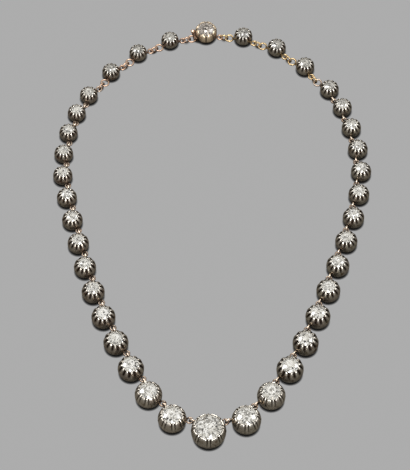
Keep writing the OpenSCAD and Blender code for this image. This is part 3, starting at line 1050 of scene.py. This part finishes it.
def makeEyes(i, sizes, joints, material):
    bm = newWire()
    if i != claspIndex:
        addFlatEye(bm, i, sizes, joints, joints[i]["wallA"] - eyes["sink"])
    addEndEye(bm, (i - 1) % colletCount, sizes, joints)
    roots = eyeRootsOf(i, sizes, joints)
    return finishWire(bm, nodeName(i) + "_eyes", nodeName(i), roots, material)


def makeLinks(name, indices, sizes, joints, material):
    bm = newWire()
    for i in indices:
        joint = joints[i]
        seat = Matrix.Translation((joint["flatX"] + joint["toLink"], 0, 0))
        matrix = jointMatrix(i, sizes, joints) @ seat @ upright
        addRing(bm, joint["link"], matrix, eyes["backRubAndSheen"])
    return finishWire(bm, name, name, [], material)


# the clasp's tongue, with its pad and its ball

tongue = {
    "width": 2.4,
    "thick": 0.9,
    "height": 0.5,  # share of half the collet's width
    "gap": 0.12,
    "sink": 0.3,
    "padThick": 0.75,
    "padHeight": 1.7,
    "rounding": 0.16,
    "ball": 1.3,
    "ballRise": 1.1,
    "postSides": 16,
}


def makeTongue(sizes, joints, material):
    bm = newWire()
    size, joint = sizes[claspIndex], joints[claspIndex]
    face, midZ = size["half"] + tongue["gap"], tongue["height"] * size["half"]
    padHalf = tongue["width"] / 2 + tongue["padThick"]

    made = bmesh.ops.create_cube(bm, size=1)  # the pad, hollowed to the bowl's curve
    bmesh.ops.scale(bm, verts=made["verts"], vec=(1, 2 * padHalf, tongue["padHeight"]))
    around = list({e for v in made["verts"] for e in v.link_edges})
    bmesh.ops.bevel(
        bm, geom=around, offset=tongue["rounding"], segments=2, profile=0.5, affect="EDGES",
        material=-1,
    )
    bmesh.ops.subdivide_edges(bm, edges=bm.edges[:], cuts=3, use_grid_fill=True)
    for v in bm.verts:
        inner = math.sqrt(face**2 - v.co.y**2 - (v.co.z + midZ - size["bellyZ"]) ** 2)
        t = v.co.x + 0.5
        v.co = (inner + (face + tongue["padThick"] - inner) * t, v.co.y, v.co.z + midZ)

    root, end = joint["wallA"] - tongue["sink"], face + tongue["sink"]
    made = bmesh.ops.create_cube(bm, size=1)  # the plate that goes into the slot
    plate = (end - root, tongue["width"], tongue["thick"])
    bmesh.ops.scale(bm, verts=made["verts"], vec=plate)
    bmesh.ops.translate(bm, verts=made["verts"], vec=((root + end) / 2, 0, midZ))

    ballHalf, postHalf = tongue["ball"] / 2, chain["wire"] / 2
    postX, ballZ = face + ballHalf, size["bellyZ"] + tongue["ballRise"]
    made = bmesh.ops.create_cone(
        bm, cap_ends=True, segments=tongue["postSides"], radius1=postHalf, radius2=postHalf,
        depth=ballZ - midZ,
    )
    bmesh.ops.translate(bm, verts=made["verts"], vec=(postX, -ballHalf, (ballZ + midZ) / 2))
    made = bmesh.ops.create_icosphere(bm, subdivisions=3, radius=ballHalf)
    bmesh.ops.translate(bm, verts=made["verts"], vec=(postX, -ballHalf, ballZ))

    turn = Matrix.Rotation(joint["heading"], 4, "Z")
    stand = Matrix.Translation((*size["place"], 0)) @ turn
    bmesh.ops.transform(bm, verts=bm.verts[:], matrix=stand)
    # painted shade low down, and the ball's top made bright by wear and a painted highlight
    shadeLowLightTops(bm, bm.verts[:], eyes["rubAndSheen"])
    addFlatEye(bm, claspIndex, sizes, joints, face)
    solder = jointMatrix(claspIndex, sizes, joints) @ Vector((face, 0, 0))
    return finishWire(bm, "clasp_tongue", "clasp_tongue", [solder], material)


# put together

scene.view_settings.view_transform = "Standard"
makeCamera()
makeStudio()
sizes, joints = layChain()
print("chain laid:", round(sum(j["chord"] for j in joints), 1), "mm round")

pattern = bpy.data.meshes.new("brilliant")
cutBrilliant().to_mesh(pattern)
print("brilliant cut:", len(pattern.polygons), "facets")
diamond, greyDiamond = diamondMaterial("diamond"), diamondMaterial("greyDiamond")
rightSide = range(1, claspIndex)
leftSide = range(colletCount - 1, claspIndex, -1)
makeStones("stone_centre", [0], sizes, pattern, diamond)
makeStones("stone_clasp", [claspIndex], sizes, pattern, greyDiamond)
makeStones("stones_right", rightSide, sizes, pattern, diamond)
makeStones("stones_left", leftSide, sizes, pattern, diamond)
print("stones set")

aged = agedMetalGroup()
metal = {name: metalMaterial(name, aged) for name in metals}
for i in range(colletCount):
    onRight = i < claspIndex
    silver, gold = ("darkSilver", "yellowGold") if onRight else ("brownSilver", "roseGold")
    bowlMetal = metal["paleGold" if i == claspIndex else silver]
    eyeMetal = metal[gold if placeOf(i) > chain["closeCount"] else "brownGold"]
    makeBowl(sizes[i], eyeRootsOf(i, sizes, joints), bowlMetal)
    makeEyes(i, sizes, joints, eyeMetal)
linksRight = range(chain["closeCount"], claspIndex)
linksLeft = range(claspIndex, colletCount - chain["closeCount"])
makeLinks("links_right", linksRight, sizes, joints, metal["yellowGold"])
makeLinks("links_left", linksLeft, sizes, joints, metal["roseGold"])
makeTongue(sizes, joints, metal["roseGold"])
print("collets, links and clasp made")
